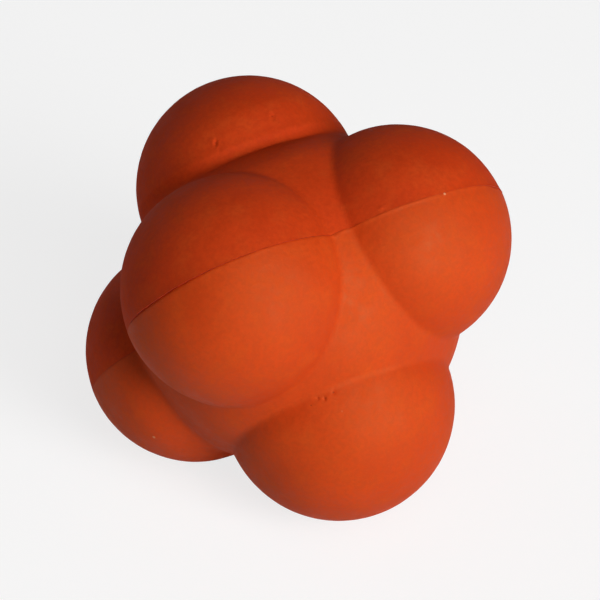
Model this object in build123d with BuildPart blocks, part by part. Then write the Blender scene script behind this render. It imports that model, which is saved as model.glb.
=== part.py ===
from build123d import *
import math
import os

# Six-lobed rubber reaction ball, in millimetres.
#
# The ball is two solid rubber mouldings, one from each half of the mould,
# bonded face to face with a film of vulcanising cement.  Six round lobes sit
# on a spherical core, one at each end of three crossing axes, so the ball
# bounces off in a direction nobody can guess.  It comes to rest on any three
# neighbouring lobes.
#
# Row frame: the origin is the ball's centre and +Z is up, along the diagonal
# between three lobes, as the ball stands.  +Y points over the back upper
# lobe, whose axis is also the direction the mould opens.

# ---- driving dimensions ----------------------------------------------------
TIP_TO_TIP = 70.0        # over two opposite lobes
LOBE_RADIUS = 16.8       # each lobe is a sphere of this radius
CORE_RADIUS = 25.2       # the sphere seen between the lobes
CREASE_RADIUS = 2.5      # rounding where a lobe runs into the core
BOND_THICKNESS = 0.2     # cement film between the two mouldings
BOND_RECESS = 0.15       # the film ends this far below the rubber's surface

LOBE_OFFSET = TIP_TO_TIP / 2 - LOBE_RADIUS   # centre of the ball to centre of a lobe

# ---- frame -----------------------------------------------------------------
# The mould's own frame: local Z is the opening direction, local X and Y run
# along the two lobe axes that lie in the parting plane.
MOULD_X = (-1 / math.sqrt(2), -1 / math.sqrt(6), 1 / math.sqrt(3))
MOULD_Z = (0, math.sqrt(2 / 3), 1 / math.sqrt(3))
mould_plane = Plane(origin=(0, 0, 0), x_dir=MOULD_X, z_dir=MOULD_Z)

# Each lobe sphere is turned so that its own pole lies on the lobe's tip.
lobe_seats = [
    Location((LOBE_OFFSET, 0, 0), (0, 90, 0)),
    Location((-LOBE_OFFSET, 0, 0), (0, -90, 0)),
    Location((0, LOBE_OFFSET, 0), (-90, 0, 0)),
    Location((0, -LOBE_OFFSET, 0), (90, 0, 0)),
    Location((0, 0, LOBE_OFFSET), (0, 0, 0)),
    Location((0, 0, -LOBE_OFFSET), (180, 0, 0)),
]

# Radius of the circle along which a lobe meets the core.
crease_along = (CORE_RADIUS**2 + LOBE_OFFSET**2 - LOBE_RADIUS**2) / (2 * LOBE_OFFSET)
crease_across = math.sqrt(CORE_RADIUS**2 - crease_along**2)


def crease_edges(part):
    """The circles where a lobe meets the core, left out of the spheres' own seams."""
    return [
        e
        for e in part.edges().filter_by(GeomType.CIRCLE)
        if abs(e.radius - crease_across) < 1e-3
    ]


def ball_half(keep):
    """One of the two mouldings: the whole lobed form, cut off at its bonding face."""
    with BuildPart(mould_plane) as half:
        with Locations(Location((0, 0, 0), (0, 0, 45))):
            Sphere(CORE_RADIUS)
        with Locations(*lobe_seats):
            Sphere(LOBE_RADIUS)
        fillet(crease_edges(half), radius=CREASE_RADIUS)
        if keep == Keep.TOP:
            split(bisect_by=mould_plane.offset(BOND_THICKNESS / 2), keep=Keep.TOP)
        else:
            split(bisect_by=mould_plane.offset(-BOND_THICKNESS / 2), keep=Keep.BOTTOM)
    return half


# ---- the two mouldings -----------------------------------------------------
upper_half = ball_half(Keep.TOP)
lower_half = ball_half(Keep.BOTTOM)

# ---- the cement film between them ------------------------------------------
with BuildPart() as seam_bond:
    with BuildSketch(mould_plane.offset(-BOND_THICKNESS / 2)) as film_outline:
        Circle(CORE_RADIUS - BOND_RECESS)
        with PolarLocations(LOBE_OFFSET, 4):
            Circle(LOBE_RADIUS - BOND_RECESS)
        fillet(film_outline.vertices(), radius=CREASE_RADIUS + BOND_RECESS)
    extrude(amount=BOND_THICKNESS)

# ---- export ----------------------------------------------------------------
os.makedirs("parts", exist_ok=True)
pieces = {
    "upper_half": upper_half,
    "lower_half": lower_half,
    "seam_bond": seam_bond,
}
for name, piece in pieces.items():
    piece.part.label = name
    export_step(piece.part, f"parts/{name}.step")
    box = piece.part.bounding_box()
    print(name, "volume", round(piece.part.volume), "solids", len(piece.part.solids()),
          "faces", len(piece.part.faces()), "box", box.min, box.max)
print("lobe offset", LOBE_OFFSET, "crease across", round(crease_across, 3),
      "resting height", round(2 * (LOBE_OFFSET / math.sqrt(3) + LOBE_RADIUS), 2))
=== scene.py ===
# Six-lobed rubber reaction ball: the looks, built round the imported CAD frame.
# Lengths in the shape code are millimetres, in the ball's own lobe frame (x, y, z along three of its
# lobes, z across the seam).  Everything is turned into the row frame, in metres, as it becomes a mesh.
import bpy
import math
import numpy as np
from mathutils import Matrix


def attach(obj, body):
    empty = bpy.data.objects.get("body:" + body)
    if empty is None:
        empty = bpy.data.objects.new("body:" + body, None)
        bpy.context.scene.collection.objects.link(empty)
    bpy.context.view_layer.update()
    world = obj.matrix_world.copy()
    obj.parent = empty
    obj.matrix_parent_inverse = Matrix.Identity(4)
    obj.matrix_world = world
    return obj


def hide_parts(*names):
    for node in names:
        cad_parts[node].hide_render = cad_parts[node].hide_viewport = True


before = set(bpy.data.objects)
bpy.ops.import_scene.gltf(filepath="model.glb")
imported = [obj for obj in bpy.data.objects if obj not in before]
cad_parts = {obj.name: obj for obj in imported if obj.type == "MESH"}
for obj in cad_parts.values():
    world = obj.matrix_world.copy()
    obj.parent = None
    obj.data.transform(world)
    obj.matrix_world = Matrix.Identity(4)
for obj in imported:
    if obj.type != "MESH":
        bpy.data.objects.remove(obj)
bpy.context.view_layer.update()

# ---- sizes, as in the CAD ---------------------------------------------------------------------
MM = 0.001
RADIUS = 16.8          # a lobe
OFFSET = 18.2          # ball's centre to a lobe's centre
CORE = 25.2            # the sphere between the lobes
CREASE = 1.7           # rounding where they meet, tighter than the drawing's as moulded
REST = OFFSET / math.sqrt(3) + RADIUS      # centre of the ball to the floor

LOBE_AXES = np.array([
    (-1 / math.sqrt(2), -1 / math.sqrt(6), 1 / math.sqrt(3)),
    (1 / math.sqrt(2), -1 / math.sqrt(6), 1 / math.sqrt(3)),
    (0.0, math.sqrt(2 / 3), 1 / math.sqrt(3)),
])

# The lobes as they came out of the mould, a few tenths off the drawing: centre and radius.
LOBES = [
    ((OFFSET - 0.02, -0.05, -0.02), RADIUS - 0.03),
    ((-OFFSET, 0.0, 0.0), RADIUS),
    ((0.0, OFFSET + 0.39, 0.07), RADIUS - 0.12),
    ((0.0, -OFFSET - 0.10, -0.11), RADIUS - 0.05),
    ((-0.04, 0.08, OFFSET - 0.09), RADIUS + 0.09),
    ((0.08, -0.27, -OFFSET + 0.40), RADIUS + 0.23),
]

# Their feet aren't quite round either: (lobe's axis, side of it, degrees the crease moves in, how far round in radians).
FEET = [
    ((0, 0, 1), (0.75, 0.66, 0.0), 2.0, 0.60),
    ((0, -1, 0), (0.75, 0.0, -0.66), 1.2, 0.75),
    ((0, 0, -1), (0.93, -0.37, 0.0), -0.9, 0.45),
]


# ---- noise --------------------------------------------------------------------------------------
def lattice(ix, iy, iz, seed):
    h = (ix * 374761393 + iy * 668265263 + iz * 2147483629 + seed * 1274126177) & 0xFFFFFFFF
    h = ((h ^ (h >> 13)) * 1274126177) & 0xFFFFFFFF
    h = ((h ^ (h >> 15)) * 668265263) & 0xFFFFFFFF
    return h ^ (h >> 16)


def noise(p, size, seed):
    """Smooth gradient noise from about -1 to 1, with bumps about `size` across."""
    q = p / size + 0.37 * seed
    i = np.floor(q).astype(np.int64)
    f = q - i
    w = f * f * f * (f * (f * 6 - 15) + 10)
    out = np.zeros(len(p))
    for dx in (0, 1):
        for dy in (0, 1):
            for dz in (0, 1):
                h = lattice(i[:, 0] + dx, i[:, 1] + dy, i[:, 2] + dz, seed)
                dot = (
                    ((h & 1023) / 511.5 - 1) * (f[:, 0] - dx)
                    + (((h >> 10) & 1023) / 511.5 - 1) * (f[:, 1] - dy)
                    + (((h >> 20) & 1023) / 511.5 - 1) * (f[:, 2] - dz)
                )
                out += (
                    (w[:, 0] if dx else 1 - w[:, 0])
                    * (w[:, 1] if dy else 1 - w[:, 1])
                    * (w[:, 2] if dz else 1 - w[:, 2])
                    * dot
                )
    return out * 1.7


def ring_noise(phi, size, seed):
    """The same, along the seam: phi in radians, size in mm along it."""
    r = 30.0
    return noise(np.stack([r * np.cos(phi), r * np.sin(phi), np.zeros_like(phi)], 1), size, seed)


def round_curve(phi, points):
    """A smooth closed curve through (degrees, value) points."""
    a = np.array([d for d, _ in points], float)
    v = np.array([x for _, x in points], float)
    a = np.concatenate([a - 360, a, a + 360])
    v = np.concatenate([v, v, v])
    d = np.degrees(phi)
    out = np.zeros(len(phi))
    taps = ((-3.0, 0.1), (-1.5, 0.22), (0.0, 0.36), (1.5, 0.22), (3.0, 0.1))
    for step, share in taps:
        out += share * np.interp((d + step + 180) % 360 - 180, a, v)
    return out


# ---- the lobed surface ------------------------------------------------------------------------------
def lobe_profile(th, d, r_lobe):
    """Distance from the ball's centre, and its slope, at angle th from a lobe's axis."""
    a_len, b_len = CORE + CREASE, r_lobe + CREASE
    s0 = (a_len**2 + d * d - b_len**2) / (2 * d)
    q0 = math.sqrt(a_len**2 - s0 * s0)
    th_core = math.atan2(q0, s0)
    th_lobe = math.atan2(q0 * r_lobe / b_len, d + (s0 - d) * r_lobe / b_len)
    c, s = np.cos(th), np.sin(th)
    root = np.sqrt(np.maximum(r_lobe**2 - (d * s) ** 2, 1e-6))
    r = d * c + root
    slope = -d * s - d * d * s * c / root
    a = s0 * c + q0 * s
    root = np.sqrt(np.maximum(a * a - a_len**2 + CREASE**2, 1e-9))
    in_crease = (th > th_lobe) & (th < th_core)
    r = np.where(in_crease, a - root, r)
    slope = np.where(in_crease, (q0 * c - s0 * s) * (1 - a / root), slope)
    on_core = th >= th_core
    return np.where(on_core, CORE, r), np.where(on_core, 0.0, slope)


def surface(u):
    """Points and outward normals of the smooth ball in the directions u."""
    best = np.zeros(len(u))
    normal = u.copy()
    for centre, r_lobe in LOBES:
        centre = np.array(centre)
        d = float(np.linalg.norm(centre))
        axis = centre / d
        c = np.clip(u @ axis, -1, 1)
        away = u * c[:, None] - axis
        away /= np.maximum(np.linalg.norm(away, axis=1), 1e-9)[:, None]
        th = np.arccos(c)
        for lobe, side, degrees, width in FEET:
            if np.dot(axis, lobe) > 0.9:
                across = u - axis * c[:, None]
                across /= np.maximum(np.linalg.norm(across, axis=1), 1e-9)[:, None]
                round_it = np.arccos(np.clip(across @ unit(np.array(side)), -1, 1))
                foot = np.clip((np.degrees(th) - 31) / 8, 0, 1)
                foot = foot * foot * (3 - 2 * foot) * np.clip((58 - np.degrees(th)) / 8, 0, 1)
                th = th + math.radians(degrees) * foot * np.exp(-((round_it / width) ** 2))
        r, slope = lobe_profile(th, d, r_lobe)
        n = u * r[:, None] - away * slope[:, None]
        n /= np.linalg.norm(n, axis=1)[:, None]
        up = (c > 0.5) & (r > best)
        best = np.where(up, r, best)
        normal = np.where(up[:, None], n, normal)
    best = np.maximum(best, CORE)
    return u * best[:, None], normal


def unit(v):
    return v / np.linalg.norm(v, axis=-1, keepdims=True)


# ---- the seam ---------------------------------------------------------------------------------------
# How far the seam wanders off its plane, towards +z of the lobe frame, round the ball.
WANDER = [(-60, 0.05), (-17, 0.07), (-9, -0.12), (0, -0.12), (12, -0.15), (22, -0.09), (33, -0.02), (41, 0.08),
          (46, 0.29), (49, 0.29), (53, 0.14), (58, 0.10), (65, -0.05), (72, -0.18), (79, -0.06), (88, -0.05),
          (96, -0.14), (118, 0.06), (150, -0.10), (175, 0.08), (205, 0.12), (228, -0.08), (260, 0.06), (285, 0.10)]
# How open the groove along it is: 0 where the rubber and the cement have closed it, 1 where it is clean and deep.
OPEN = [(-130, 0.60), (-112, 0.30), (-96, 0.16), (-80, 0.22), (-60, 0.25), (-26, 0.08), (-20, 0.15), (-17, 1.00), (-6, 1.15),
        (4, 1.05), (10, 0.70), (20, 0.43), (30, 0.52), (42, 0.40), (50, 0.15), (58, 0.08), (68, 0.08), (76, 0.05), (83, 0.25), (90, 0.75),
        (100, 0.85), (135, 0.60), (150, 0.95), (190, 0.60), (215, 0.85)]
# The upper half's skirt flares out to the seam, by this much and over this length.
FLARE = [(-90, 0.04), (-60, 0.05), (-26, 0.12), (-18, 0.25), (-8, 0.28), (6, 0.29), (14, 0.26), (20, 0.20), (30, 0.16),
         (38, 0.10), (48, 0.06), (60, 0.07), (78, 0.09), (90, 0.20), (100, 0.15), (130, 0.12), (180, 0.10), (225, 0.06)]
FLARE_LENGTH = [(-60, 1.3), (-10, 1.4), (12, 1.4), (30, 1.5), (50, 0.7), (65, 0.7), (80, 0.6), (90, 0.55), (140, 1.2), (180, 1.4), (270, 1.2)]
# The two mould halves met a little off centre, so the upper one is set back.
SET_BACK = [(-90, 0.05), (-60, 0.07), (-34, 0.10), (-20, 0.15), (0, 0.17), (30, 0.15), (42, 0.10), (54, 0.01), (72, 0.02), (90, 0.12),
            (140, 0.11), (180, 0.08), (235, 0.08)]
# Height of the thin lip on the lower half, just below its rounded edge.
LIP = [(-90, 0.0), (-20, 0.0), (0, 0.004), (10, 0.014), (20, 0.052), (30, 0.018), (37, 0.026), (44, 0.060), (54, 0.092),
       (66, 0.092), (76, 0.058), (90, 0.014), (130, 0.022), (180, 0.020), (235, 0.010)]


def seam_wander(phi):
    return round_curve(phi, WANDER) + 0.042 * ring_noise(phi, 2.3, 41) + 0.026 * ring_noise(phi, 1.1, 42)


def seam_open(phi):
    return round_curve(phi, OPEN) * np.clip(1 + 0.45 * ring_noise(phi, 2.4, 43) + 0.25 * ring_noise(phi, 1.0, 44), 0.3, 1.7)


def pressed(phi, t):
    """How much nearer the seam's middle a point t mm from it comes, where the edges are pressed together."""
    t = np.abs(t)
    closed = np.clip(1 - seam_open(phi) / 0.5, 0, 1)
    return 0.88 * closed * np.minimum(t, GAP) * np.exp(-np.maximum(t - GAP, 0) / 0.05)


def seam_relief(phi, t, upper):
    """What the seam adds to the surface, t mm from it."""
    if upper:
        edge = round_curve(phi, FLARE) * (1 + 0.35 * ring_noise(phi, 5.0, 11))
        out = edge * np.exp(-t / round_curve(phi, FLARE_LENGTH))
        out -= round_curve(phi, SET_BACK) * np.exp(-t / 8.0)
        out += 0.022 * seam_open(phi) * np.exp(-t / 0.16)
        out += (0.016 * ring_noise(phi, 1.3, 12) + 0.010 * ring_noise(phi, 0.6, 13)) * np.exp(-t / 0.22)
    else:
        edge = round_curve(phi, LIP) * (1 + 0.5 * ring_noise(phi, 3.5, 21))
        out = edge * np.exp(-(((t - 0.09) / 0.32) ** 2))
        out += (0.016 * ring_noise(phi, 1.1, 22) + 0.010 * ring_noise(phi, 0.55, 23)) * np.exp(-t / 0.30)
    return out


# ---- marks of moulding and use ----------------------------------------------------------------------
# (direction in the lobe frame, depth in mm with pits positive, radius in mm, stretch, stretch direction)
MARKS_UPPER = [
    ((0.5728, 0.1732, 0.8012), 0.150, 0.30, 1.8, (0.05, 0.45, 0.89)),    # pit on the back upper lobe
    ((0.5643, 0.1594, 0.8100), -0.060, 0.45, 1.2, (0.05, 0.45, 0.89)),   # its raised lip
    ((0.5987, 0.1873, 0.7788), 0.060, 0.34, 1.4, (0.05, 0.45, 0.89)),    # a shallow one below it
    ((0.3668, 0.4466, 0.8161), 0.210, 0.36, 1.8, (0.05, 0.45, 0.89)),
    ((0.3651, 0.4405, 0.8202), -0.060, 0.45, 1.3, (0.05, 0.45, 0.89)),
    ((0.7479, 0.6636, 0.0189), -0.060, 0.22, 1.4, (0.6, -0.6, 0.1)),     # nib of flash on the seam
    ((0.5466, 0.8369, 0.0305), -0.170, 0.24, 1.3, (0.5, -0.5, 0.3)),     # bump beside the seam
]
MARKS_LOWER = [
    ((0.6267, 0.1907, -0.7556), 0.180, 0.19, 1.5, (0.05, 0.45, 0.89)),   # row of pits in the crease
    ((0.6123, 0.2474, -0.7509), 0.200, 0.20, 1.6, (0.05, 0.45, 0.89)),
    ((0.6451, 0.1631, -0.7465), 0.140, 0.18, 1.3, (0.05, 0.45, 0.89)),
    ((0.6459, 0.1103, -0.7554), 0.150, 0.19, 1.4, (0.3, 0.2, 0.6)),
    ((0.5864, 0.2361, -0.7748), 0.070, 0.24, 1.2, (0.1, 0.9, 0.2)),
    ((0.6193, 0.2625, -0.7400), 0.080, 0.18, 1.2, (0.1, 0.9, 0.2)),
    ((0.6205, 0.2200, -0.7525), -0.045, 0.42, 1.3, (0.1, 0.9, 0.2)),
    ((0.3545, -0.8538, -0.3814), -0.110, 0.20, 1.1, (1.0, 0.0, 0.0)),    # a grain stuck on the side lobe
    ((0.3111, 0.9503, -0.0111), -0.070, 0.20, 1.3, (0.9, -0.3, 0.0)),    # a grain on the seam
    ((0.7259, 0.6877, -0.0106), -0.065, 0.22, 1.5, (0.6, -0.6, 0.1)),    # nibs on the lower edge
    ((0.8053, 0.5926, -0.0172), -0.075, 0.20, 1.3, (0.6, -0.6, 0.1)),
]
# Specks that differ in colour: (direction, radius in mm, how much of the colour, pale or dark). The pale ones are
# grains and dust; the dark ones, set in the pits, are painted shade.
SPECKS_UPPER = [
    ((0.5728, 0.1732, 0.8012), 0.17, 0.55, "dark"),
    ((0.3668, 0.4466, 0.8161), 0.17, 0.45, "dark"),
]
SPECKS_LOWER = [
    ((0.3545, -0.8538, -0.3814), 0.22, 0.85, "pale"),
    ((0.3111, 0.9503, -0.0111), 0.19, 0.70, "pale"),
    ((0.6267, 0.1907, -0.7556), 0.16, 0.60, "dark"),
    ((0.6123, 0.2474, -0.7509), 0.16, 0.60, "dark"),
    ((0.6451, 0.1631, -0.7465), 0.14, 0.45, "dark"),
    ((0.6459, 0.1103, -0.7554), 0.14, 0.45, "dark"),
]


def scattered(upper, seed):
    """Shallow dimples and nubs on the sides that nothing else marks."""
    rng = np.random.default_rng(seed)
    out = []
    while len(out) < 16:
        v = unit(rng.normal(size=3))
        v[2] = abs(v[2]) * (1 if upper else -1)
        if abs(v[2]) < 0.12 or max(v[0], 0) + max(v[1], 0) > 0.75:
            continue
        depth = rng.uniform(0.035, 0.075) * (1 if rng.random() < 0.75 else -1)
        out.append((tuple(v), depth, rng.uniform(0.32, 0.6), rng.uniform(1.0, 1.6), tuple(unit(rng.normal(size=3)))))
    return out


def mark_relief(p, marks):
    out = np.zeros(len(p))
    for direction, depth, radius, stretch, along in marks:
        centre, n = surface(unit(np.array([direction])))
        centre, n = centre[0], n[0]
        near = np.nonzero(((p - centre) ** 2).sum(1) < (4 * radius * stretch) ** 2)[0]
        if not len(near):
            continue
        d = p[near] - centre
        along = np.array(along) - n * np.dot(along, n)
        along /= np.linalg.norm(along)
        across = np.cross(n, along)
        rho2 = (d @ along / stretch) ** 2 + (d @ across) ** 2
        ragged = 1 + 0.35 * noise(p[near], 0.35, 71)
        body = np.exp(-rho2 / (radius * radius) * ragged)
        rim = 0.14 * np.exp(-((np.sqrt(rho2) - 1.55 * radius) / (0.45 * radius)) ** 2) if depth > 0 else 0.0
        out[near] -= depth * (body - rim)
    return out


def gather(u, marks):
    """Draws the mesh's directions together over small marks, so that they get enough vertices."""
    spread = 0.18
    done = []
    for direction, _, radius, _, _ in marks:
        c = unit(np.array(direction, float))
        if abs(c[2]) < 0.2 or any(np.dot(c, o) > math.cos(0.10) for o in done):
            continue
        done.append(c)
        cos = np.clip(u @ c, -1, 1)
        near = np.nonzero(cos > math.cos(spread))[0]
        ang = np.arccos(cos[near]) / spread
        grid = np.linspace(0, 1, 200)
        rise = np.clip((grid - 0.34) / 0.36, 0, 1)
        density = 0.40 + 0.87 * rise * rise * (3 - 2 * rise)
        warp = np.concatenate([[0], np.cumsum((density[1:] + density[:-1]) / 2)])
        warp /= warp[-1]
        new = np.interp(ang, grid, warp) * spread
        side = u[near] - c * cos[near][:, None]
        side /= np.maximum(np.linalg.norm(side, axis=1), 1e-9)[:, None]
        u[near] = c * np.cos(new)[:, None] + side * np.sin(new)[:, None]
    return u


def relief(p, upper):
    """The moulded rubber's own unevenness: slow swells, orange peel, fine grain."""
    s = 100 if upper else 200
    # the web between the lobes dips a little along the back upper one
    away = np.arccos(np.clip(p[:, 2] / np.linalg.norm(p, axis=1), -1, 1))
    side = (p[:, 0] + p[:, 1]) / np.maximum(np.hypot(p[:, 0], p[:, 1]), 1e-6) / math.sqrt(2)
    front = np.clip((side + 0.30) / 0.60, 0, 1)
    fade = np.clip((100 - np.abs(np.degrees(np.arctan2(p[:, 1], p[:, 0])))) / 42, 0, 1)
    away = np.degrees(away)
    beyond = np.clip(away - 41.8, 0, 16)
    dip = np.clip((away - 39.2) / 2.6, 0, 1) * np.where(beyond < 10, 0.78 - 0.060 * beyond, 0.0050 * (16 - beyond) ** 2)
    out = 0.030 * noise(p, 11.0, s + 1) + 0.016 * noise(p, 5.0, s + 2) - dip * fade * front * front * (3 - 2 * front)
    out += 0.0085 * noise(p, 2.1, s + 3)
    out += 0.0110 * noise(p, 1.15, s + 4) * (1 + 0.6 * noise(p, 7.0, s + 5))
    out += 0.0085 * noise(p, 0.70, s + 6)
    return out


# ---- meshes -----------------------------------------------------------------------------------------
STEPS = 168                     # squares along a quarter turn
FACE = 0.10                     # half the film's thickness between the mating faces
GAP = 0.018                     # half the gap at the surface, where the pressed edges nearly touch
WALL_ROWS = [(FACE, 0.85), (0.030, 0.48), (GAP, 0.26)]       # (mm from the seam's middle, mm below the surface)
SHARP_ROWS = [(0.0185, 0.014), (0.022, 0.005), (0.028, 0.001), (0.040, 0.0), (0.060, 0.0), (0.10, 0.0), (0.155, 0.0)]
ROUND_ROWS = [(0.020, 0.150), (0.050, 0.130), (0.090, 0.102), (0.140, 0.072), (0.200, 0.044), (0.270, 0.021), (0.360, 0.006)]
FLAT_ROWS = [(t, 0.0) for t in (0.21, 0.28, 0.37, 0.48, 0.61, 0.78, 1.0, 1.26)]
FACE_RINGS = [(0.0, 0.0), (0.40, 0.0), (0.80, 0.35), (0.93, 0.85)]   # share of the rim's radius, share of the wander


def columns():
    k = np.arange(4 * STEPS)
    return np.radians(90.0 * (k // STEPS) - 45.0 + 90.0 * (k % STEPS) / STEPS)


def rim(phi):
    """Radius of the smooth ball at its parting line, and how far the line wanders."""
    flat = np.stack([np.cos(phi), np.sin(phi), np.zeros_like(phi)], 1)
    p, _ = surface(flat)
    return np.linalg.norm(p, axis=1), seam_wander(phi)


def make_mesh(name, verts_mm, faces, second=0):
    """verts in the lobe frame, faces a list of index arrays of one size each. The first `second` faces take the
    second material."""
    co = verts_mm @ LOBE_AXES * MM
    loops = np.concatenate([f.ravel() for f in faces]).astype(np.int32)
    sizes = np.concatenate([np.full(len(f), f.shape[1]) for f in faces]).astype(np.int32)
    starts = np.concatenate([[0], np.cumsum(sizes)[:-1]]).astype(np.int32)
    me = bpy.data.meshes.new(name)
    me.vertices.add(len(co))
    me.vertices.foreach_set("co", co.astype(np.float32).ravel())
    me.loops.add(len(loops))
    me.loops.foreach_set("vertex_index", loops)
    me.polygons.add(len(sizes))
    me.polygons.foreach_set("loop_start", starts)
    me.polygons.foreach_set("loop_total", sizes)
    me.polygons.foreach_set("use_smooth", np.ones(len(sizes), bool))
    kind = np.zeros(len(sizes), np.int32)
    kind[:second] = 1
    me.polygons.foreach_set("material_index", kind)
    me.update(calc_edges=True)
    me.validate()
    ob = bpy.data.objects.new(name, me)
    bpy.context.scene.collection.objects.link(ob)
    return ob


def moulding(name, upper):
    sign = 1.0 if upper else -1.0
    phi = columns()
    n_col = len(phi)
    quarter = np.radians(-45.0 + 90.0 * (np.arange(n_col) % STEPS) / STEPS)
    r_rim, wander = rim(phi)

    # rows of directions: the close ones at set distances from the seam, the rest at even angles
    edge_rows = SHARP_ROWS if upper else ROUND_ROWS
    rows, depth = [], []
    for t, e in WALL_ROWS + edge_rows + [f for f in FLAT_ROWS if f[0] > edge_rows[-1][0] * 1.1]:
        rows.append(np.arctan2(t, r_rim))
        depth.append(e)
    last = np.arctan(np.tan(rows[-1]) / np.cos(quarter))
    even = int(round((math.radians(45) - last.mean()) / math.radians(90.0 / STEPS)))
    for j in range(1, even + 1):
        share = j / even
        beta = last + (math.radians(45) - last) * share
        rows.append(np.arctan(np.tan(beta) * np.cos(quarter)))
        depth.append(0.0)
    elev = np.stack(rows)
    u_ring = np.stack([np.cos(elev) * np.cos(phi), np.cos(elev) * np.sin(phi), np.sin(elev)], -1).reshape(-1, 3)
    e_ring = np.repeat(np.array(depth), n_col)
    first, last_round = len(WALL_ROWS) * n_col, (len(WALL_ROWS) + len(edge_rows)) * n_col
    e_ring[first:last_round] *= np.tile(seam_open(phi), len(edge_rows))
    tan = np.tan(np.radians(-45.0 + 90.0 * np.arange(STEPS + 1) / STEPS))
    gx, gy = np.meshgrid(tan[1:-1], tan[1:-1], indexing="ij")
    u_top = unit(np.stack([gx, gy, np.ones_like(gx)], -1).reshape(-1, 3))
    u = np.concatenate([u_ring, u_top])
    e = np.concatenate([e_ring, np.zeros(len(u_top))])
    u[:, 2] *= sign

    marks = (MARKS_UPPER if upper else MARKS_LOWER) + scattered(upper, 5 if upper else 6)
    u = gather(u, marks)
    p, _ = surface(u)
    az = np.arctan2(p[:, 1], p[:, 0])
    away = np.abs(p[:, 2])
    shift = round_curve(az, WANDER) * np.exp(-((away / 7.0) ** 2))
    shift += (seam_wander(az) - round_curve(az, WANDER)) * np.exp(-away / 0.8)
    p[:, 2] += shift
    p, n = surface(unit(p))
    add = relief(p, upper)
    add += seam_relief(az, away, upper) * np.clip((14 - away) / 8, 0, 1)
    add += mark_relief(p, marks)
    verts = p + n * (add - e)[:, None]
    verts[:, 2] -= sign * pressed(az, away)

    # the mating face: rings in to the centre
    n_row = len(rows)
    inner = []
    base = verts[:n_col]
    z_face = sign * FACE
    for share, follow in FACE_RINGS[1:]:
        ring = base * share
        ring[:, 2] = z_face + wander * follow
        inner.append(ring)
    verts[:n_col, 2] = z_face + wander
    offset = len(verts)
    verts = np.concatenate([verts] + inner + [np.array([[0.0, 0.0, z_face]])])

    k = np.arange(n_col)
    k2 = (k + 1) % n_col
    quads = []
    for r in range(n_row - 1):
        quads.append(np.stack([r * n_col + k, r * n_col + k2, (r + 1) * n_col + k2, (r + 1) * n_col + k], 1))
    # the top of the cube-sphere, sewn to the last row
    grid = np.zeros((STEPS + 1, STEPS + 1), int)
    grid[1:-1, 1:-1] = n_row * n_col + np.arange((STEPS - 1) ** 2).reshape(STEPS - 1, STEPS - 1)
    edge = (n_row - 1) * n_col
    s = np.arange(STEPS + 1)
    grid[STEPS, s] = edge + s % n_col
    grid[s, STEPS] = edge + (2 * STEPS - s) % n_col
    grid[0, s] = edge + (3 * STEPS - s) % n_col
    grid[s, 0] = edge + (3 * STEPS + s) % n_col
    quads.append(np.stack([grid[:-1, :-1], grid[1:, :-1], grid[1:, 1:], grid[:-1, 1:]], -1).reshape(-1, 4))
    outer = 0
    for j in range(len(inner) - 1, -1, -1):
        ring = offset + j * n_col
        quads.append(np.stack([ring + k, ring + k2, outer + k2, outer + k], 1))
        outer = ring
    centre = len(verts) - 1
    tris = np.stack([np.full(n_col, centre), outer + k2, outer + k], 1)
    quads = np.concatenate(quads)
    if not upper:
        quads = quads[:, ::-1]
        tris = tris[:, ::-1]
    # painted shade: the groove's walls, up to the upper half's sharp edge, take a darker cement-coloured material so
    # that they read as the groove's shadow
    return make_mesh(name, verts, [quads, tris], (4 if upper else 3) * n_col)


# Places where the cement stands up to the surface and bridges the seam: (degrees, mm along the seam).
BRIDGES = [(-4.3, 0.35), (33.0, 2.2), (118.0, 0.8), (171.0, 1.6), (214.0, 0.5), (262.0, 1.2)]


def cement(name):
    phi = columns()
    n_col = len(phi)
    r_rim, wander = rim(phi)
    sunk = 0.016 + 0.13 * seam_open(phi) + 0.012 * ring_noise(phi, 2.6, 31)
    for deg, length in BRIDGES:
        d = (np.degrees(phi) - deg + 180) % 360 - 180
        along = np.radians(d) * r_rim
        sunk -= 0.12 * np.exp(-((along / (length * 0.6)) ** 2))
    outer = r_rim - np.clip(sunk, 0.012, 0.22)
    thin = GAP - 0.003
    flat = np.stack([np.cos(phi), np.sin(phi)], 1)

    def loop(radius, side, t, lift):
        z = side * (t - pressed(phi, t)) + lift
        return np.concatenate([flat * radius[:, None], z[:, None]], 1)

    verts, n_loops = [], 0
    face_in = r_rim - WALL_ROWS[0][1]
    for side in (-1.0, 1.0):
        loops = []
        for share, follow in FACE_RINGS[1:]:
            loops.append(loop(face_in * share, side, FACE - 0.004, wander * follow))
        loops.append(loop(face_in, side, FACE - 0.004, wander))
        loops.append(loop(r_rim - WALL_ROWS[1][1], side, WALL_ROWS[1][0] - 0.004, wander))
        loops.append(loop(outer - 0.010, side, thin, wander))
        loops.append(loop(outer - 0.003, side, thin * 0.75, wander))
        if side > 0:
            loops = loops[::-1]
        else:
            loops.append(loop(outer, 0.0, 0.0, wander))
        verts += loops
    n_loops = len(verts)
    verts = np.concatenate(verts + [np.array([[0.0, 0.0, 0.004 - FACE], [0.0, 0.0, FACE - 0.004]])])
    k = np.arange(n_col)
    k2 = (k + 1) % n_col
    quads = np.concatenate([
        np.stack([r * n_col + k, r * n_col + k2, (r + 1) * n_col + k2, (r + 1) * n_col + k], 1)
        for r in range(n_loops - 1)
    ])
    low, high = n_loops * n_col, n_loops * n_col + 1
    top = (n_loops - 1) * n_col
    tris = np.concatenate([
        np.stack([np.full(n_col, low), k2, k], 1),
        np.stack([np.full(n_col, high), top + k, top + k2], 1),
    ])
    return make_mesh(name, verts, [quads, tris])


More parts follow.
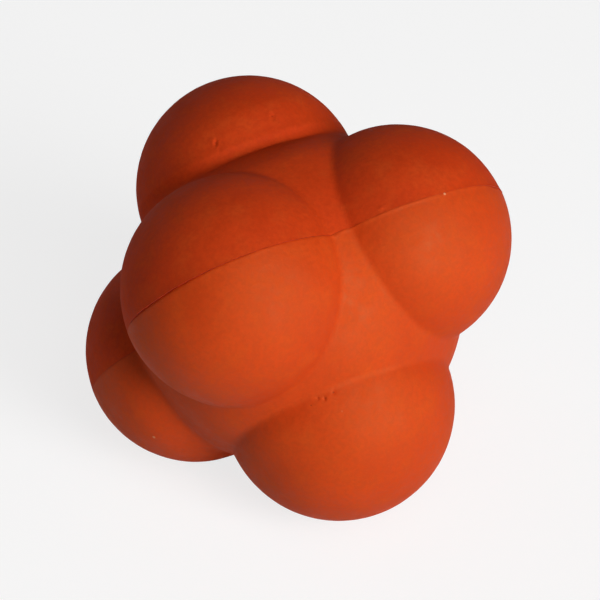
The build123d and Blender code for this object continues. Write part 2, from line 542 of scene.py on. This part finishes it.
# ---- materials --------------------------------------------------------------------------------------
class Nodes:
    """A little shorthand for building a node tree."""

    def __init__(self, name):
        self.material = bpy.data.materials.new(name)
        self.material.use_nodes = True
        self.tree = self.material.node_tree
        self.tree.nodes.clear()

    def add(self, kind, **settings):
        node = self.tree.nodes.new(kind)
        for key, value in settings.items():
            setattr(node, key, value)
        return node

    def link(self, a, b):
        self.tree.links.new(a, b)

    def noise(self, coords, scale, detail=2.0, rough=0.5, distortion=0.0):
        node = self.add("ShaderNodeTexNoise", noise_dimensions="3D")
        node.inputs["Scale"].default_value = scale
        node.inputs["Detail"].default_value = detail
        node.inputs["Roughness"].default_value = rough
        node.inputs["Distortion"].default_value = distortion
        self.link(coords, node.inputs["Vector"])
        return node.outputs["Fac"]

    def ramp(self, value, low, high, out_low=0.0, out_high=1.0):
        node = self.add("ShaderNodeMapRange", clamp=True, interpolation_type="SMOOTHSTEP")
        for key, v in (("From Min", low), ("From Max", high), ("To Min", out_low), ("To Max", out_high)):
            node.inputs[key].default_value = v
        self.link(value, node.inputs["Value"])
        return node.outputs["Result"]

    def math(self, operation, a, b):
        node = self.add("ShaderNodeMath", operation=operation)
        for i, v in enumerate((a, b)):
            if isinstance(v, (int, float)):
                node.inputs[i].default_value = v
            else:
                self.link(v, node.inputs[i])
        return node.outputs["Value"]

    def mix(self, fac, a, b):
        node = self.add("ShaderNodeMix", data_type="RGBA", blend_type="MIX")
        self.link(fac, node.inputs[0])
        for i, v in ((6, a), (7, b)):
            if isinstance(v, tuple):
                node.inputs[i].default_value = (*v, 1.0)
            else:
                self.link(v, node.inputs[i])
        return node.outputs[2]


def rubber(name, seed, tones, gloss, rough, tint, specks):
    light, deep, dark, dust = tones
    n = Nodes(name)
    where = n.add("ShaderNodeTexCoord").outputs["Object"]
    shift = n.add("ShaderNodeMapping")
    shift.inputs["Location"].default_value = (0.013 * seed, 0.007 * seed, -0.011 * seed)
    n.link(where, shift.inputs["Vector"])
    at = shift.outputs["Vector"]

    slow = n.noise(at, 90.0, 2.0, 0.5)           # patches about 10 mm across
    patch = n.noise(at, 330.0, 3.0, 0.55)        # 3 mm
    grain = n.noise(at, 1500.0, 2.0, 0.6)        # 0.6 mm
    fine = n.noise(at, 3800.0, 1.0, 0.5)         # 0.25 mm

    colour = n.mix(n.ramp(slow, 0.35, 0.65), deep, light)
    colour = n.mix(n.ramp(patch, 0.46, 0.72, 0.0, 0.30), colour, dust)
    colour = n.mix(n.ramp(grain, 0.70, 0.28, 0.0, 0.42), colour, dark)
    colour = n.mix(n.ramp(fine, 0.56, 0.80, 0.0, 0.26), colour, dust)
    # a few pale specks of dust and mould release
    dots = n.add("ShaderNodeTexVoronoi", voronoi_dimensions="3D", feature="F1")
    dots.inputs["Scale"].default_value = 120.0
    dots.inputs["Randomness"].default_value = 1.0
    n.link(at, dots.inputs["Vector"])
    speck = n.ramp(dots.outputs["Distance"], 0.022, 0.012, 0.0, 0.15)
    colour = n.mix(speck, colour, SPECK)
    # spots at set places: pale grains of dust, and dark spots that are painted shade inside the pits
    for direction, radius, share, kind in specks:
        spot, _ = surface(unit(np.array([direction])))
        away = n.add("ShaderNodeVectorMath", operation="DISTANCE")
        away.inputs[1].default_value = (spot[0] @ LOBE_AXES * MM).tolist()
        n.link(where, away.inputs[0])
        ragged = n.math("ADD", away.outputs["Value"], n.math("MULTIPLY", fine, 0.00012))
        reach = radius * MM + 0.00006
        colour = n.mix(n.ramp(ragged, reach * 1.25, reach * 0.8, 0.0, share), colour, SPECK if kind == "pale" else PIT_PAINTED_SHADE)

    shader = n.add("ShaderNodeBsdfPrincipled")
    n.link(colour, shader.inputs["Base Color"])
    matt = n.math("ADD", n.ramp(patch, 0.3, 0.7, rough - 0.06, rough + 0.06), n.ramp(grain, 0.3, 0.7, -0.05, 0.07))
    n.link(matt, shader.inputs["Roughness"])
    shader.inputs["Specular IOR Level"].default_value = gloss
    shader.inputs["Specular Tint"].default_value = (*tint, 1.0)

    height = n.math("ADD", n.math("MULTIPLY", grain, 1.0), n.math("MULTIPLY", fine, 0.35))
    bump = n.add("ShaderNodeBump")
    bump.inputs["Strength"].default_value = 0.55
    bump.inputs["Distance"].default_value = 0.00004
    n.link(height, bump.inputs["Height"])
    n.link(bump.outputs["Normal"], shader.inputs["Normal"])
    out = n.add("ShaderNodeOutputMaterial")
    n.link(shader.outputs["BSDF"], out.inputs["Surface"])
    return n.material


# the cement's look; also used, darker than the rubber, as painted shade on the groove's walls
def rubber_cement(name, deep, light):
    n = Nodes(name)
    at = n.add("ShaderNodeTexCoord").outputs["Object"]
    patch = n.noise(at, 600.0, 3.0, 0.6)
    fine = n.noise(at, 2600.0, 2.0, 0.5)
    colour = n.mix(n.ramp(patch, 0.35, 0.65), deep, light)
    shader = n.add("ShaderNodeBsdfPrincipled")
    n.link(colour, shader.inputs["Base Color"])
    n.link(n.ramp(fine, 0.3, 0.7, 0.55, 0.75), shader.inputs["Roughness"])
    shader.inputs["Specular IOR Level"].default_value = 0.35
    bump = n.add("ShaderNodeBump")
    bump.inputs["Strength"].default_value = 0.5
    bump.inputs["Distance"].default_value = 0.00003
    n.link(fine, bump.inputs["Height"])
    n.link(bump.outputs["Normal"], shader.inputs["Normal"])
    out = n.add("ShaderNodeOutputMaterial")
    n.link(shader.outputs["BSDF"], out.inputs["Surface"])
    return n.material


# light, deep, dark and dusty tones of the rubber
UPPER_TONES = ((0.655, 0.0545, 0.0066), (0.605, 0.0465, 0.0058), (0.475, 0.0350, 0.0042), (0.670, 0.0885, 0.0130))
LOWER_TONES = ((0.643, 0.0525, 0.0039), (0.595, 0.0450, 0.0034), (0.467, 0.0335, 0.0025), (0.658, 0.0865, 0.0095))
SPECK = (0.70, 0.34, 0.17)
# painted shade for the inside of the pits
PIT_PAINTED_SHADE = (0.20, 0.012, 0.002)

# ---- camera -------------------------------------------------------------------------------------------
# From in front and to the left, about 36 degrees above the floor, with a long lens.
CAM_AXES = np.array([          # rows: right, up and back of the camera, each along the three lobe axes
    (-0.44343665, 0.81022551, -0.38327349),
    (0.04676619, 0.44794719, 0.89283607),
    (0.89508483, 0.37799199, -0.23652736),
])
BALL_IN_VIEW = np.array([-0.84350556, 0.59302348, -406.11835195])     # mm, in the camera's axes
turn = CAM_AXES @ LOBE_AXES                                            # row frame to camera
place = -turn.T @ BALL_IN_VIEW * MM
cam_data = bpy.data.cameras.new("camera")
cam_data.sensor_width = 36.0
cam_data.lens = 163.943
cam_data.clip_start = 0.01
cam_data.clip_end = 50.0
camera = bpy.data.objects.new("camera", cam_data)
pose = Matrix([list(row) for row in turn.T]).to_4x4()
pose.translation = place.tolist()
camera.matrix_world = pose
bpy.context.scene.collection.objects.link(camera)
bpy.context.scene.camera = camera

# ---- the ball -----------------------------------------------------------------------------------------
upper = moulding("upper_half_rubber", True)
lower = moulding("lower_half_rubber", False)
film = cement("seam_cement")
upper.data.materials.append(rubber("rubber_upper", 0, UPPER_TONES, 0.09, 0.72, (1.0, 1.0, 0.95), SPECKS_UPPER))
lower.data.materials.append(rubber("rubber_lower", 3, LOWER_TONES, 0.38, 0.66, (1.0, 1.0, 0.42), SPECKS_LOWER))
film.data.materials.append(rubber_cement("cement", (0.300, 0.021, 0.003), (0.430, 0.032, 0.004)))
# painted shade: this darker material on the groove's walls stands in for the shadow inside the groove
groove_painted_shade = rubber_cement("groove_walls_painted_shade", (0.420, 0.030, 0.004), (0.530, 0.038, 0.005))
upper.data.materials.append(groove_painted_shade)
lower.data.materials.append(groove_painted_shade)
for piece, node, where in ((upper, "upper_half", "rubber"), (lower, "lower_half", "rubber"), (film, "seam_bond", "rubber_cement")):
    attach(piece, "root")
    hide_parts(node)

# ---- floor, backdrop and light --------------------------------------------------------------------------
FLOOR_GLOW = 0.78          # keeps the paper pale round the ball, where only the lens sees it
floor_mesh = bpy.data.meshes.new("floor")
size = 3.0
z = -REST * MM
floor_mesh.from_pydata([(-size, -size, z), (size, -size, z), (size, size, z), (-size, size, z)], [], [(0, 1, 2, 3)])
floor = bpy.data.objects.new("floor", floor_mesh)
bpy.context.scene.collection.objects.link(floor)
paper = Nodes("paper")
paper_shader = paper.add("ShaderNodeBsdfPrincipled")
paper_at = paper.add("ShaderNodeTexCoord").outputs["Object"]
paper_seen = paper.add("ShaderNodeLightPath").outputs["Is Camera Ray"]
paper_tone = paper.mix(paper.ramp(paper.noise(paper_at, 3.0, 3.0, 0.5), 0.3, 0.7), (0.86, 0.86, 0.86), (0.88, 0.88, 0.88))
paper.link(paper.mix(paper_seen, paper_tone, (0.25, 0.25, 0.25)), paper_shader.inputs["Base Color"])
paper_shader.inputs["Roughness"].default_value = 0.9
paper_shader.inputs["Specular IOR Level"].default_value = 0.1
paper_shader.inputs["Emission Color"].default_value = (1.0, 1.0, 1.0, 1.0)
paper.link(paper.math("MULTIPLY", paper_seen, FLOOR_GLOW), paper_shader.inputs["Emission Strength"])
paper_out = paper.add("ShaderNodeOutputMaterial")
paper.link(paper_shader.outputs["BSDF"], paper_out.inputs["Surface"])
floor.data.materials.append(paper.material)

world = bpy.data.worlds.new("studio")
world.use_nodes = True
background = world.node_tree.nodes["Background"]
background.inputs["Color"].default_value = (1.0, 1.0, 1.0, 1.0)
background.inputs["Strength"].default_value = 0.03
sky = world.node_tree
sky_seen = sky.nodes.new("ShaderNodeLightPath")
sky_level = sky.nodes.new("ShaderNodeMapRange")
sky_level.inputs["To Min"].default_value = 0.03      # what lights the ball
sky_level.inputs["To Max"].default_value = 0.83      # what the lens sees
sky.links.new(sky_seen.outputs["Is Camera Ray"], sky_level.inputs["Value"])
sky.links.new(sky_level.outputs["Result"], background.inputs["Strength"])
bpy.context.scene.world = world


def softbox(name, azimuth, elevation, distance, width, power):
    """A soft round light aimed at the ball. Azimuth 0 is in front (-Y) and 90 to the right (+X)."""
    data = bpy.data.lights.new(name, "AREA")
    data.shape = "DISK"
    data.size = width
    data.energy = power
    ob = bpy.data.objects.new(name, data)
    az, el = math.radians(azimuth), math.radians(elevation)
    out = np.array([math.sin(az) * math.cos(el), -math.cos(az) * math.cos(el), math.sin(el)])
    side = np.cross((0.0, 0.0, 1.0), out)
    side /= np.linalg.norm(side)
    up = np.cross(out, side)
    m = Matrix([list(row) for row in np.stack([side, up, out], 1)]).to_4x4()
    m.translation = (out * distance).tolist()
    ob.matrix_world = m
    ob.visible_camera = False
    bpy.context.scene.collection.objects.link(ob)
    return ob


softbox("key", 15.0, 25.0, 1.1, 0.55, 6.05)
softbox("key_low", 16.0, 16.0, 1.1, 0.55, 3.15)
softbox("key_mid", 0.0, 42.0, 1.1, 0.55, 2.3)
softbox("high", -8.0, 60.0, 1.1, 0.55, 0.8)
softbox("back", 180.0, 11.0, 1.1, 0.34, 0.36)
softbox("back_right", 150.0, 11.0, 1.1, 0.34, 0.36)
softbox("back_left", -150.0, 11.0, 1.1, 0.34, 1.15)

bpy.context.scene.view_settings.view_transform = "Standard"
bpy.context.scene.view_settings.look = "None"
